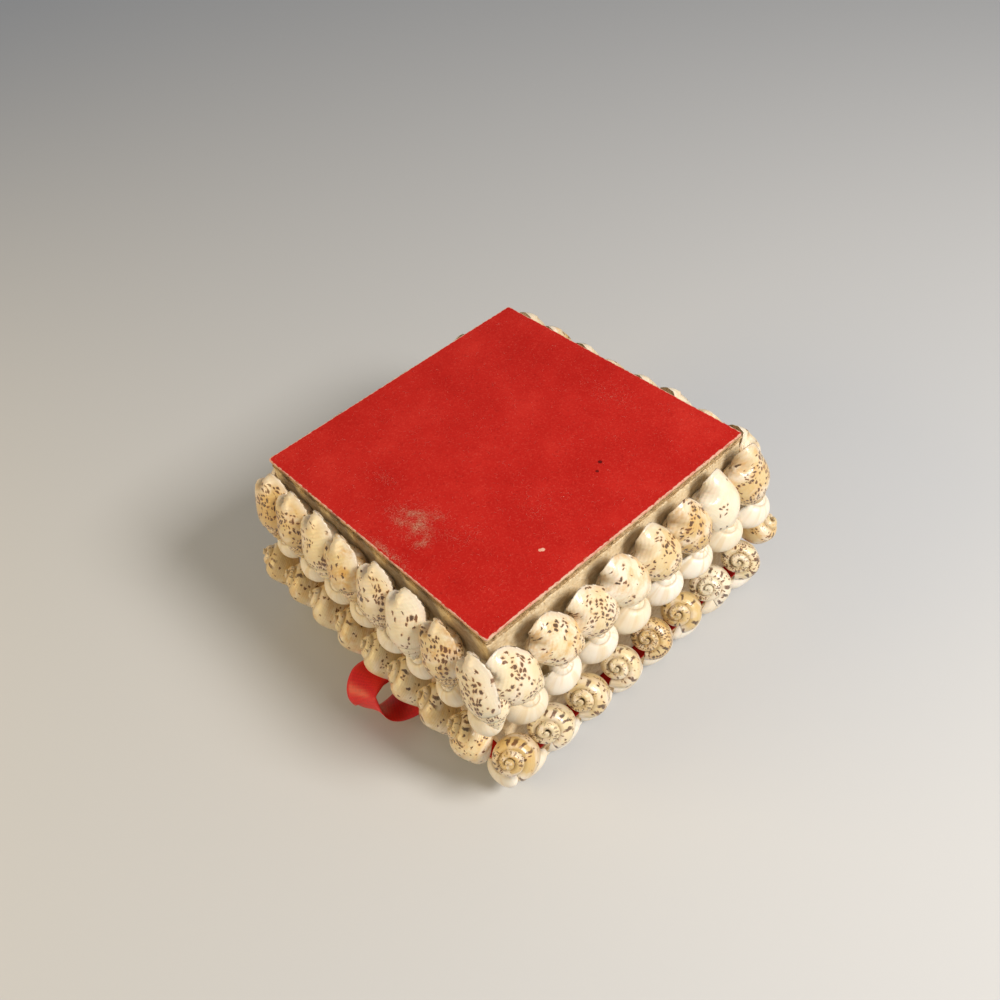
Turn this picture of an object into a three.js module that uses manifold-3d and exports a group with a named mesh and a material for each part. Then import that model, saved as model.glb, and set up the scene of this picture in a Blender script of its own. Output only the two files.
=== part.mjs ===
// A square card trinket box covered with glued sea shells, turned over so that it stands on its lid.
// Millimetres, +Z up. The front, with the ribbon pull, faces -Y. The origin is on the surface that
// the box stands on, below the middle of its bounding box.
//
// Places on a side are given as three numbers: `along` runs to the right as seen from outside,
// `out` is the distance beyond the wall's face, and `drop` is the distance below the base.

import * as THREE from "three";
import { mergeVertices } from "three/addons/utils/BufferGeometryUtils.js";
import Module from "manifold-3d";

const wasm = await Module();
wasm.setup();

// ---- Driving dimensions ----

const SIDES = ["front", "right", "back", "left"];
const SHELLS_PER_SIDE = 8;
const BASE_SIDE = 76; // the square base, and the wall's outer face
const HEIGHT = 51; // from the lid's lowest shells up to the base covering
const GAP = 0.3; // clear space between neighbouring pieces, where the real ones are glued

const PAPER = 0.5; // flocked paper
const BASE_CARD = 1.6; // the card glued under the body
const WALL = 2; // the body's walls and bottom
const SEAM_DROP = 42.6; // the top of the lid's lining, below the base
const LID_OVERHANG = 3; // how far the lid reaches beyond the wall all round
const LID_CARD = 3;
const LID_PANEL_SIDE = 62; // the covering on the lid's outer face, inside its border of shells

const WHELK = {
  length: 16.4,
  width: 9.1,
  height: 7.6,
  along: 1.3, // the row's middle, off the side's middle
  pitch: 9.95,
  out: 5.1,
  drop: 10.6,
  tilt: 16, // degrees, spire outwards
  lean: {
    // degrees, spire to the right
    front: [18, 14, 20, 27, 12, 16, 18, 30],
    right: [20, 18, 20, 22, 24, 22, 18, 16],
    back: [19, 22, 16, 20, 17, 23, 20, 18],
    left: [17, 20, 23, 18, 21, 16, 19, 21],
  },
};
const MOON = { width: 10.6, height: 10.6, depth: 7, along: 1.7, pitch: 10.15, out: 0.7, drop: 23.2 };
const SPIRE = {
  length: 14,
  width: 11.8,
  height: 11.4,
  along: -3.8,
  pitch: 10.35,
  out: 5.6,
  drop: 34.6,
  axis: [-0.61, 0.46, 0.64], // along, out and up, from the siphon end to the spire
};
const EDGE_MOON = { width: 10.9, height: 7.8, depth: 4.3, along: 1.2, pitch: 10.45, drop: 46.8 };
const TOP_MOON = { width: 10.4, height: 10.4, along: 0, pitch: 9.9, count: 7, inset: 5.4 };

const RIBBON_WIDTH = 9.5;
const RIBBON_THICKNESS = 0.5;
const RIBBON_STEPS = 24;
// The loop's middle line as along, out and drop, then the direction of its width in the same
// three. Both ends lie on the lid's rim, side by side, and the returning leg is twisted a little.
const RIBBON_ROUTE = [
  [[-0.4, 0.7, 42.0], [1, 0, 0]],
  [[-0.4, 4.2, 42.0], [1, 0, 0]],
  [[-0.2, 7.4, 41.6], [1, -0.15, 0]],
  [[0.4, 10.4, 40.5], [1, -0.3, 0]],
  [[1.8, 13.2, 40.6], [1, -0.3, 0]],
  [[2.9, 14.3, 42.6], [1, -0.2, 0]],
  [[4.2, 13.1, 44.6], [1, 0.15, -0.15]],
  [[5.9, 11.6, 45.5], [0.85, 0.4, -0.35]],
  [[7.8, 9.5, 44.1], [0.9, 0.3, -0.25]],
  [[9.2, 6.6, 42.1], [1, 0.05, 0]],
  [[9.6, 3.4, 42.0], [1, 0, 0]],
  [[9.6, 0.7, 42.0], [1, 0, 0]],
];

const FACETS = 8; // round the shells

// ---- Materials ----

const FLOCK_RED = 0xbf2620;
const material = (color, roughness) => new THREE.MeshStandardMaterial({ color, roughness, metalness: 0 });
const card = material(0xb58d62, 0.9);
const flock = material(FLOCK_RED, 0.95);
const ribbonSatin = material(0xc5170d, 0.5);
const spottedShell = material(0xe2c796, 0.35);
const whiteShell = material(0xefe3c6, 0.35);

// ---- Closed surfaces ----

function geometryOf(points, triangles) {
  const geometry = new THREE.BufferGeometry();
  geometry.setAttribute("position", new THREE.Float32BufferAttribute(points.flat(), 3));
  geometry.setIndex(triangles.flat());
  return geometry;
}

// A closed skin over `rings` of equally many points, from a first point to a last one.
// Each ring runs anticlockwise as seen from the last point. A four-sided face is split along its
// shorter diagonal, so the two faces of a thin twisted band keep their distance.
function skin(first, rings, last) {
  const count = rings[0].length;
  const points = [first, ...rings.flat(), last];
  const index = (ring, k) => 1 + ring * count + (k % count);
  const length = (p, q) => Math.hypot(...points[p].map((value, axis) => value - points[q][axis]));
  const triangles = [];
  for (let k = 0; k < count; k++) {
    triangles.push([0, index(0, k + 1), index(0, k)]);
    for (let ring = 0; ring + 1 < rings.length; ring++) {
      const [a, b] = [index(ring, k), index(ring, k + 1)];
      const [c, d] = [index(ring + 1, k + 1), index(ring + 1, k)];
      if (length(a, c) <= length(b, d)) triangles.push([a, b, c], [a, c, d]);
      else triangles.push([a, b, d], [b, c, d]);
    }
    triangles.push([points.length - 1, index(rings.length - 1, k), index(rings.length - 1, k + 1)]);
  }
  return geometryOf(points, triangles);
}

// A turned form along +Y. A station is [place, size, shift]: its place and size are shares of
// `length` and of the half widths, and shift moves it sideways, in shares of the half width.
function turned({ length, width, height, flat }, stations, ends) {
  const ring = ([place, size, shift = 0]) =>
    Array.from({ length: FACETS }, (_, k) => {
      const angle = (k * 2 * Math.PI) / FACETS;
      const up = Math.cos(angle);
      return [
        (width / 2) * (size * Math.sin(angle) + shift),
        length * (place - 0.5),
        (height / 2) * size * up * (up < 0 ? flat : 1),
      ];
    });
  const pole = ([place, shift = 0]) => [(width / 2) * shift, length * (place - 0.5), 0];
  return skin(pole(ends[0]), stations.map(ring), pole(ends[1]));
}

// A whelk: siphon end at -Y, a full body whorl, the step of the suture, and a short spire at +Y.
const whelk = (size) =>
  turned(
    { flat: 0.85, ...size },
    [
      [0.04, 0.42, -0.22],
      [0.2, 0.82, -0.04],
      [0.46, 1],
      [0.68, 0.84],
      [0.76, 0.56, 0.04],
    ],
    [
      [0, -0.28],
      [1, 0.08],
    ],
  );

// A whelk with a shorter body, for the row that lies spire outwards.
const spireWhelk = (size) =>
  turned(
    { flat: 1, ...size },
    [
      [0.14, 0.66],
      [0.45, 1],
      [0.72, 0.82],
    ],
    [[0], [1]],
  );

// A moon shell: a low round dome along +Y, from its mouth to its flat spire.
const moon = ({ width, height, depth }, shoulders) =>
  turned({ length: depth, width, height, flat: 1 }, shoulders, [[0], [1]]);
const FULL_SHOULDERS = [
  [0.06, 0.74],
  [0.42, 1],
  [0.84, 0.62],
];
const LOW_SHOULDERS = [
  [0.3, 1],
  [0.82, 0.6],
];

// A flat band with square ends, swept through points with their width directions.
function band(route, widthDirections, width, thickness) {
  const sections = route.map((point, i) => {
    const before = route[Math.max(i - 1, 0)];
    const after = route[Math.min(i + 1, route.length - 1)];
    const heading = after.clone().sub(before).normalize();
    const side = widthDirections[i].clone();
    side.addScaledVector(heading, -side.dot(heading)).normalize();
    const face = side.clone().cross(heading);
    const corner = (x, z) =>
      point
        .clone()
        .addScaledVector(side, (x * width) / 2)
        .addScaledVector(face, (z * thickness) / 2)
        .toArray();
    return [corner(-1, -1), corner(-1, 1), corner(1, 1), corner(1, -1)];
  });
  return skin(route[0].toArray(), sections, route[route.length - 1].toArray());
}

// ---- Joining ----

function solidOf(geometry) {
  const bare = geometry.clone();
  bare.deleteAttribute("normal");
  bare.deleteAttribute("uv");
  const merged = mergeVertices(bare, 1e-4);
  return new wasm.Manifold(
    new wasm.Mesh({
      numProp: 3,
      vertProperties: new Float32Array(merged.attributes.position.array),
      triVerts: new Uint32Array(merged.index.array),
    }),
  );
}

function geometryFrom(solid) {
  const made = solid.getMesh();
  const geometry = new THREE.BufferGeometry();
  geometry.setAttribute("position", new THREE.BufferAttribute(made.vertProperties, 3));
  geometry.setIndex(new THREE.BufferAttribute(made.triVerts, 1));
  return geometry;
}

const joined = (geometries) => geometryFrom(geometries.map(solidOf).reduce((a, b) => a.add(b)));

// ---- Placing ----

const box = new THREE.Group();

function add(parent, name, geometry, look) {
  const mesh = new THREE.Mesh(geometry, look);
  mesh.name = name;
  parent.add(mesh);
  return mesh;
}

// A point on the front side, in that side's own axes.
const onSide = ({ along, out, drop }) => new THREE.Vector3(along, -BASE_SIDE / 2 - out, HEIGHT - drop);

// Lays a form that was made along +Y on a side, with its +Y along `heading` and its +Z outwards.
function laid(geometry, place, heading) {
  const forward = new THREE.Vector3(heading[0], -heading[1], heading[2]).normalize();
  const outwards = new THREE.Vector3(0, -1, 0);
  const up = outwards.addScaledVector(forward, -outwards.dot(forward)).normalize();
  const across = forward.clone().cross(up);
  const matrix = new THREE.Matrix4().makeBasis(across, forward, up).setPosition(onSide(place));
  return geometry.applyMatrix4(matrix);
}

const rowPlace = (row, i, count = SHELLS_PER_SIDE) => row.along + (i - (count - 1) / 2) * row.pitch;
const range = (count) => Array.from({ length: count }, (_, i) => i);

// A square sheet or board, from one drop to another.
function square(name, side, fromDrop, thickness, look) {
  const mesh = add(box, name, new THREE.BoxGeometry(side, side, thickness), look);
  mesh.position.z = HEIGHT - fromDrop - thickness / 2;
  return mesh;
}

// ---- The card box and its lid ----

const baseCardDrop = PAPER + GAP;
const bodyDrop = baseCardDrop + BASE_CARD + GAP;
const bodyHeight = SEAM_DROP - GAP - bodyDrop;
const bodySide = BASE_SIDE - 0.4;
const lidSide = BASE_SIDE + 2 * LID_OVERHANG;
const lidCardDrop = SEAM_DROP + PAPER + GAP;
const lidTopDrop = lidCardDrop + LID_CARD + GAP;

square("base_covering", BASE_SIDE, 0, PAPER, flock);
square("base_board", BASE_SIDE - 0.4, baseCardDrop, BASE_CARD, card);

const outside = new THREE.BoxGeometry(bodySide, bodySide, bodyHeight);
const hollow = new THREE.BoxGeometry(bodySide - 2 * WALL, bodySide - 2 * WALL, bodyHeight);
hollow.translate(0, 0, -WALL);
const body = add(box, "card_body", geometryFrom(solidOf(outside).subtract(solidOf(hollow))), card);
body.position.z = HEIGHT - bodyDrop - bodyHeight / 2;

square("lid_lining", lidSide, SEAM_DROP, PAPER, flock);
square("lid_board", lidSide, lidCardDrop, LID_CARD, card);
square("lid_covering", LID_PANEL_SIDE, lidTopDrop, PAPER, flock);

// ---- Shells, the same on each side ----

function whelkRow(side, sideName) {
  const tilt = THREE.MathUtils.degToRad(WHELK.tilt);
  for (const i of range(SHELLS_PER_SIDE)) {
    const lean = THREE.MathUtils.degToRad(WHELK.lean[sideName][i]);
    const heading = [Math.sin(lean) * Math.cos(tilt), Math.sin(tilt), -Math.cos(lean) * Math.cos(tilt)];
    const place = { ...WHELK, along: rowPlace(WHELK, i) };
    add(side, `whelk_${sideName}_${i + 1}`, laid(whelk(WHELK), place, heading), spottedShell);
  }
}

function moonRow(side, sideName) {
  const shells = range(SHELLS_PER_SIDE).map((i) => {
    const place = { along: rowPlace(MOON, i), out: MOON.out + MOON.depth / 2, drop: MOON.drop };
    return laidOutwards(moon(MOON, FULL_SHOULDERS), place);
  });
  add(side, `moon_row_${sideName}`, joined(shells), whiteShell);
}

function spireRow(side, sideName) {
  const shells = range(SHELLS_PER_SIDE).map((i) =>
    laid(spireWhelk(SPIRE), { ...SPIRE, along: rowPlace(SPIRE, i) }, SPIRE.axis),
  );
  add(side, `spire_row_${sideName}`, joined(shells), spottedShell);
}

function lidEdgeRow(side, sideName) {
  const out = LID_OVERHANG + GAP + EDGE_MOON.depth / 2;
  const shells = range(SHELLS_PER_SIDE).map((i) =>
    laidOutwards(moon(EDGE_MOON, LOW_SHOULDERS), { along: rowPlace(EDGE_MOON, i), out, drop: EDGE_MOON.drop }),
  );
  add(side, `lid_edge_row_${sideName}`, joined(shells), whiteShell);
}

// The lid's outer face: a border row along each edge, domes downwards.
function lidTopRow(side, sideName) {
  const depth = HEIGHT - lidTopDrop;
  const y = -lidSide / 2 + TOP_MOON.inset;
  const shells = range(TOP_MOON.count).map((i) => {
    const shell = moon({ ...TOP_MOON, depth }, LOW_SHOULDERS);
    shell.rotateX(-Math.PI / 2);
    return shell.translate(rowPlace(TOP_MOON, i, TOP_MOON.count) - TOP_MOON.pitch / 2, y, depth / 2);
  });
  add(side, `lid_top_row_${sideName}`, joined(shells), whiteShell);
}

function laidOutwards(geometry, place) {
  const at = onSide(place);
  return geometry.rotateX(Math.PI).translate(at.x, at.y, at.z);
}

for (const [turn, sideName] of SIDES.entries()) {
  const side = new THREE.Group();
  side.rotation.z = (turn * Math.PI) / 2;
  box.add(side);
  whelkRow(side, sideName);
  moonRow(side, sideName);
  spireRow(side, sideName);
  lidEdgeRow(side, sideName);
  lidTopRow(side, sideName);
}

// ---- The ribbon pull ----

const routeCurve = new THREE.CatmullRomCurve3(
  RIBBON_ROUTE.map(([[along, out, drop]]) => onSide({ along, out, drop })),
);
const widthCurve = new THREE.CatmullRomCurve3(
  RIBBON_ROUTE.map(([, [along, out, drop]]) => new THREE.Vector3(along, -out, -drop)),
);
const ribbon = band(
  routeCurve.getPoints(RIBBON_STEPS),
  widthCurve.getPoints(RIBBON_STEPS),
  RIBBON_WIDTH,
  RIBBON_THICKNESS,
);
add(box, "ribbon_pull", ribbon, ribbonSatin);

// ---- The whole, with its origin below the middle of its bounding box ----

const whole = new THREE.Group();
whole.add(box);
whole.updateMatrixWorld(true);
const bounds = new THREE.Box3().setFromObject(box, true);
const middle = bounds.getCenter(new THREE.Vector3());
box.position.set(-middle.x, -middle.y, -bounds.min.z);

export default whole;
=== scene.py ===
"""A square card trinket box covered with glued sea shells, turned over so that it stands on its lid.

Lengths are millimetres until MM turns them to Blender's metres. A place on one of the four sides is
given as `along` (to the right as seen from outside), `out` (beyond the wall) and `drop` (below the
base), and a direction as along, out and up. Sides count from the front: right is 1, back 2, left 3.
"""

import math
import random

import bpy
from mathutils import Matrix, Vector, noise


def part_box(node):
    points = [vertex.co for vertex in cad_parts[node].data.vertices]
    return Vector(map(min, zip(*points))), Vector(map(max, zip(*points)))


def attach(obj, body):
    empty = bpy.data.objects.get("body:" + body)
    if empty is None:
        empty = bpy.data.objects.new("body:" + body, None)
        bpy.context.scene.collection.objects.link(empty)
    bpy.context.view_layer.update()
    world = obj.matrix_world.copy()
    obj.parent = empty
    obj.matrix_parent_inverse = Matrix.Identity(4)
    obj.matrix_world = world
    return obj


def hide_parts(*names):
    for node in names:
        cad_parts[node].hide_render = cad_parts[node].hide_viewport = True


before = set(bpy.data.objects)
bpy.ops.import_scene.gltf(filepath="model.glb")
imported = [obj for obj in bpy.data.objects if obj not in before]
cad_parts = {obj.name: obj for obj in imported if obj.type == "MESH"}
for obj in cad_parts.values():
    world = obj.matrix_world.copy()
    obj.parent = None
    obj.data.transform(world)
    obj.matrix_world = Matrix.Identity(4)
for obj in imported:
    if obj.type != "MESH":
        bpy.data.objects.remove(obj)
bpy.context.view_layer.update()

MM = 0.001
SIDES = ("front", "right", "back", "left")
SHELLS_PER_SIDE = 8
BODY = "root"

base_low, base_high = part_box("base_covering")
PANEL = Vector(((base_low.x + base_high.x) / 2, (base_low.y + base_high.y) / 2, base_high.z))
HALF = (base_high.x - base_low.x) / 2 / MM  # from the base's middle to the wall
HEIGHT = PANEL.z / MM


# ---- Places ----


def direction(side, along, out, up):
    """A direction on a side, in the frame."""
    return Matrix.Rotation(side * math.pi / 2, 3, "Z") @ Vector((along, -out, up))


def place(side, along, out, drop):
    """A point on a side, in metres in the frame."""
    return PANEL + MM * direction(side, along, HALF + out, -drop)


def in_row(row, i, count=SHELLS_PER_SIDE):
    """How far along the side the middle of the i-th shell of a row lies."""
    return row["along"] + (i - (count - 1) / 2) * row["pitch"]


# ---- Nodes, colours and pieces ----


def node(tree, kind, inputs=None, **settings):
    """Adds a node. `inputs` maps a socket's name or number to a value, a socket or another node."""
    made = tree.nodes.new(kind)
    for name, value in settings.items():
        setattr(made, name, value)
    for key, value in (inputs or {}).items():
        source = value.outputs[0] if isinstance(value, bpy.types.Node) else value
        if isinstance(source, bpy.types.NodeSocket):
            tree.links.new(source, made.inputs[key])
        else:
            made.inputs[key].default_value = source
    return made


def maths(tree, operation, *values):
    """A Math node on plain numbers or sockets."""
    return node(tree, "ShaderNodeMath", dict(enumerate(values)), operation=operation)


def vector_maths(tree, operation, *values):
    """A Vector Math node on vectors or sockets."""
    return node(tree, "ShaderNodeVectorMath", dict(enumerate(values)), operation=operation)


def colour(code):
    """An sRGB hex colour as linear red, green, blue and alpha."""
    channels = [int(code[i : i + 2], 16) / 255 for i in (1, 3, 5)]
    linear = [c / 12.92 if c <= 0.04045 else ((c + 0.055) / 1.055) ** 2.4 for c in channels]
    return (*linear, 1.0)


def bend_curve(float_curve, points):
    """Gives a float curve node the (place, value) points of `points`."""
    curve = float_curve.mapping.curves[0]
    for _ in range(len(points) - len(curve.points)):
        curve.points.new(0.5, 0.5)
    for made, (at, value) in zip(curve.points, points):
        made.location = (at, value)
    float_curve.mapping.update()


def ramp(tree, factor, stops):
    """A colour ramp through (place, hex colour) stops."""
    made = node(tree, "ShaderNodeValToRGB", {"Fac": factor})
    elements = made.color_ramp.elements
    for _ in range(len(stops) - len(elements)):
        elements.new(0.5)
    for element, (at, code) in zip(elements, stops):
        element.position = at
        element.color = colour(code)
    return made


def material(name, **shader):
    """A material with its node tree and its Principled shader, whose uniform values are given."""
    made = bpy.data.materials.new(name)
    made.use_nodes = True
    principled = made.node_tree.nodes["Principled BSDF"]
    for label, value in shader.items():
        principled.inputs[label.replace("_", " ")].default_value = value
    return made, made.node_tree, principled


def tree_with(name, inputs, output="Mesh"):
    """A Geometry Nodes tree with named inputs, given as {name: (socket kind, value)}."""
    tree = bpy.data.node_groups.new(name, "GeometryNodeTree")
    for label, (kind, value) in inputs.items():
        socket = tree.interface.new_socket(label, in_out="INPUT", socket_type="NodeSocket" + kind)
        if value is not None:
            socket.default_value = value
    tree.interface.new_socket(output, in_out="OUTPUT", socket_type="NodeSocketGeometry")
    return tree, node(tree, "NodeGroupInput").outputs


def finished(piece, replaced=()):
    """A finished piece rides on the box and stands for its CAD nodes."""
    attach(piece, BODY)
    if replaced:
        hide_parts(*replaced)
    return piece


def linked(name, mesh, *materials):
    piece = bpy.data.objects.new(name, mesh)
    bpy.context.scene.collection.objects.link(piece)
    for made in materials:
        mesh.materials.append(made)
    return piece


def grown(name, tree, bed, inputs=None, drop=()):
    """Runs a tree on the mesh `bed` and returns the result as a plain piece."""
    holder = linked(name + "_bed", bed)
    modifier = holder.modifiers.new("grow", "NODES")
    modifier.node_group = tree
    for item in tree.interface.items_tree:
        if item.in_out == "INPUT" and item.name in (inputs or {}):
            modifier[item.identifier] = inputs[item.name]
    graph = bpy.context.evaluated_depsgraph_get()
    mesh = bpy.data.meshes.new_from_object(
        holder.evaluated_get(graph), preserve_all_data_layers=True, depsgraph=graph
    )
    bpy.data.objects.remove(holder)
    for attribute in drop:
        mesh.attributes.remove(mesh.attributes[attribute])
    mesh.name = name
    return linked(name, mesh)


# ---- Shells ----
# A shell's outline is its section beside the axis at the lip, as (radius, depth below the apex), both
# as shares of the largest. It starts and ends on the inner wall, so the seam is hidden.

WHELK_OUTLINE = [
    (0.07, 0.70), (0.32, 0.42), (0.56, 0.238), (0.70, 0.262), (0.83, 0.315), (0.93, 0.39), (0.99, 0.48),
    (1.0, 0.58), (0.995, 0.69), (0.98, 0.79), (0.935, 0.885), (0.84, 0.955), (0.68, 0.995), (0.48, 1.0),
    (0.32, 0.985), (0.19, 0.93), (0.09, 0.82), (0.07, 0.70),
]  # fmt: skip
WHELK_REACH = (4.8, 16.0)  # what the outline's radius and depth of 1 are in millimetres
MOON_OUTLINE = [
    (0.12, 0.58), (0.24, 0.32), (0.36, 0.17), (0.46, 0.145), (0.60, 0.185), (0.74, 0.26), (0.86, 0.36),
    (0.95, 0.48), (1.0, 0.63), (0.96, 0.78), (0.84, 0.90), (0.65, 0.98), (0.44, 1.0), (0.26, 0.93),
    (0.14, 0.76), (0.12, 0.58),
]  # fmt: skip
MOON_REACH = (5.0, 8.0)
SHELL_INPUTS = {
    "Turns": ("Float", 4.5),
    "Widening": ("Float", 1.47),
    "Lip angle": ("Float", math.radians(172)),
    "Rows": ("Int", 128),
    "Ring points": ("Int", 25),
    "Siphon lag": ("Float", -1.15),
    "Waviness": ("Float", 0.02),
    "Notch": ("Float", 0.0),
    "Seed": ("Float", 0.0),
}
LIP_AT = 0.95  # the share of the sweep's rows that make the whorls; the rest turn into the mouth
MOUTH_REACH = 0.5  # how far back inside the lip the mouth's floor lies, in radians
SUTURE_AT = 0.27  # the share of the outline at which a whorl comes out of the one before it
CAP_DEPTH = 0.19  # how deep the outline is at the apex, where the first whorls close into a dome
BLUNT = 0.78  # below 1 widens the first whorls, which blunts the apex
NOTCH_AT = 0.10  # where across the unit box the notch at the siphon end is, and how far it reaches
NOTCH_WIDTH = 0.15


def measured(outline, reach):
    """How far along the outline each of its points lies, in millimetres."""
    at = [(r * reach[0], d * reach[1]) for r, d in outline]
    run = [0.0]
    for a, b in zip(at, at[1:]):
        run.append(run[-1] + math.dist(a, b))
    return run


def shell_tree(name, outline, reach):
    """One snail shell in a box of side 1 round the origin: axis along Y, apex at +Y, back at +Z.

    A grid is wound on a growing spiral. Its X side runs from the apex to the lip and on into the
    mouth, and its Y side runs round the section. The attribute `growth` keeps both, in millimetres.
    """
    tree, given = tree_with(name, SHELL_INPUTS, "Shell")
    grid = node(tree, "GeometryNodeMeshGrid", {0: 1.0, 1: 1.0, 2: given["Rows"], 3: given["Ring points"]})
    where = node(tree, "ShaderNodeSeparateXYZ", {0: node(tree, "GeometryNodeInputPosition")})
    row = maths(tree, "ADD", where.outputs[0], 0.5)
    ring = maths(tree, "ADD", where.outputs[1], 0.5)
    sweep = node(tree, "ShaderNodeMapRange", {0: row, 1: 0.0, 2: LIP_AT, 3: 0.0, 4: 1.0})
    mouth = node(tree, "ShaderNodeMapRange", {0: row, 1: LIP_AT, 2: 1.0, 3: 0.0, 4: 1.0})
    crowded = maths(tree, "POWER", sweep, 0.75)

    back = maths(tree, "MULTIPLY", given["Turns"], -1.0)
    age = maths(tree, "MULTIPLY_ADD", crowded, given["Turns"], back)
    power = maths(tree, "POWER", given["Widening"], age)
    first = maths(tree, "POWER", given["Widening"], back)
    size = node(tree, "ShaderNodeMapRange", {0: power, 1: first, 2: 1.0, 3: 0.0, 4: 1.0})
    girth = maths(tree, "POWER", size, BLUNT)
    # The siphon end of the lip lags behind the rest, which brings the notch round to the back.
    run = measured(outline, reach)
    lagging = node(tree, "ShaderNodeFloatCurve", {"Value": ring})
    bend_curve(
        lagging,
        [(0.0, 1.0), (SUTURE_AT, 0.0), (0.58, 0.0), (0.67, 0.14), (0.76, 0.5), (0.86, 0.92), (1.0, 1.0)]
    )
    lip = maths(tree, "MULTIPLY_ADD", lagging, given["Siphon lag"], given["Lip angle"])
    turned_to = maths(tree, "MULTIPLY_ADD", age, math.tau, lip)
    tucked = maths(tree, "MULTIPLY_ADD", mouth, -MOUTH_REACH, turned_to)

    # Kept while the grid is still flat: place along the turns and round the section, and size.
    along_turns = maths(tree, "MULTIPLY", age, math.tau * reach[0])
    down_side = maths(tree, "MULTIPLY", ring, run[-1])
    growth = node(tree, "ShaderNodeCombineXYZ", {0: along_turns, 1: down_side, 2: size})
    flat = node(
        tree, "GeometryNodeStoreNamedAttribute", {"Geometry": grid, "Name": "growth"},
        data_type="FLOAT_VECTOR", domain="CORNER",
    )  # fmt: skip
    tree.links.new(growth.outputs[0], flat.inputs["Value"])

    # The section, drawn in towards its middle over the rows of the mouth.
    radius = node(tree, "ShaderNodeFloatCurve", {"Value": ring})
    bend_curve(radius, [(t / run[-1], r) for t, (r, _) in zip(run, outline)])
    depth = node(tree, "ShaderNodeFloatCurve", {"Value": ring})
    bend_curve(depth, [(t / run[-1], d) for t, (_, d) in zip(run, outline)])
    # The first whorls are capped, from the suture across to the axis, so that the apex is a closed dome.
    young = node(tree, "ShaderNodeMapRange", {0: size, 1: 0.40, 2: 0.18, 3: 0.0, 4: 1.0})
    inner = node(tree, "ShaderNodeFloatCurve", {"Value": ring})
    bend_curve(inner, [(0.0, 1.0), (0.17, 0.95), (SUTURE_AT, 0.0), (0.93, 0.0), (1.0, 1.0)])
    capped = maths(tree, "MULTIPLY", young, inner)
    depth = node(tree, "ShaderNodeMix", {0: capped, 2: depth, 3: CAP_DEPTH})
    narrowing = node(tree, "ShaderNodeFloatCurve", {"Value": mouth})
    bend_curve(narrowing, [(0.0, 0.0), (0.25, 0.015), (0.5, 0.10), (0.75, 0.34), (1.0, 1.0)])
    drawn_radius = node(tree, "ShaderNodeMix", {0: narrowing, 2: radius, 3: 0.5})
    drawn_depth = node(tree, "ShaderNodeMix", {0: narrowing, 2: depth, 3: 0.6})

    # Low swellings along the whorls, so that no two turns are quite alike.
    at_turn = node(tree, "ShaderNodeCombineXYZ", {0: age, 1: ring, 2: given["Seed"]})
    swelling = node(tree, "ShaderNodeTexNoise", {"Vector": at_turn, "Scale": 3.0, "Detail": 1.0})
    swell = node(tree, "ShaderNodeMapRange", {0: swelling, 1: 0.3, 2: 0.7, 3: -1.0, 4: 1.0})
    uneven = maths(tree, "MULTIPLY_ADD", swell, given["Waviness"], 1.0)
    wavy = maths(tree, "MULTIPLY", drawn_radius, uneven)

    from_axis = maths(tree, "MULTIPLY", wavy, girth)
    below = maths(tree, "MULTIPLY", drawn_depth, size)
    upright = maths(tree, "MULTIPLY", below, -1.0)
    section = node(tree, "ShaderNodeCombineXYZ", {0: from_axis, 1: upright})
    wound = node(
        tree, "ShaderNodeVectorRotate", {"Vector": section, "Angle": tucked}, rotation_type="Y_AXIS",
        invert=True
    )
    coiled = node(tree, "GeometryNodeSetPosition", {"Geometry": flat, "Position": wound})
    closed = node(tree, "GeometryNodeMergeByDistance", {"Geometry": coiled, "Distance": 0.0004})

    # Fitted to the unit box.
    box = node(tree, "GeometryNodeBoundBox", {"Geometry": closed})
    spread = vector_maths(tree, "SUBTRACT", box.outputs["Max"], box.outputs["Min"])
    both = vector_maths(tree, "ADD", box.outputs["Max"], box.outputs["Min"])
    middle = vector_maths(tree, "MULTIPLY", both, (0.5, 0.5, 0.5))
    from_middle = vector_maths(tree, "SUBTRACT", node(tree, "GeometryNodeInputPosition"), middle)
    fitted = vector_maths(tree, "DIVIDE", from_middle, spread)
    boxed = node(tree, "GeometryNodeSetPosition", {"Geometry": closed, "Position": fitted})

    # The siphon notch: a dent in the back of the -Y end.
    here = node(tree, "ShaderNodeSeparateXYZ", {0: node(tree, "GeometryNodeInputPosition")})
    sideways = maths(tree, "ADD", here.outputs[0], -NOTCH_AT)
    shares = [
        (maths(tree, "ABSOLUTE", sideways), NOTCH_WIDTH, 0.35 * NOTCH_WIDTH),
        (here.outputs[1], -0.26, -0.42),
        (here.outputs[2], -0.20, 0.05),
    ]
    cut = given["Notch"]
    for value, nothing, full in shares:
        share = node(
            tree, "ShaderNodeMapRange", {0: value, 1: nothing, 2: full, 3: 0.0, 4: 1.0},
            interpolation_type="SMOOTHSTEP",
        )  # fmt: skip
        cut = maths(tree, "MULTIPLY", cut, share)
    sunk = maths(tree, "MULTIPLY", cut, -2.4)
    dent = node(tree, "ShaderNodeCombineXYZ", {1: cut, 2: sunk})
    notched = node(tree, "GeometryNodeSetPosition", {"Geometry": boxed, "Offset": dent})
    smooth = node(tree, "GeometryNodeSetShadeSmooth", {"Geometry": notched})
    node(tree, "NodeGroupOutput", {0: smooth})
    return tree


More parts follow.
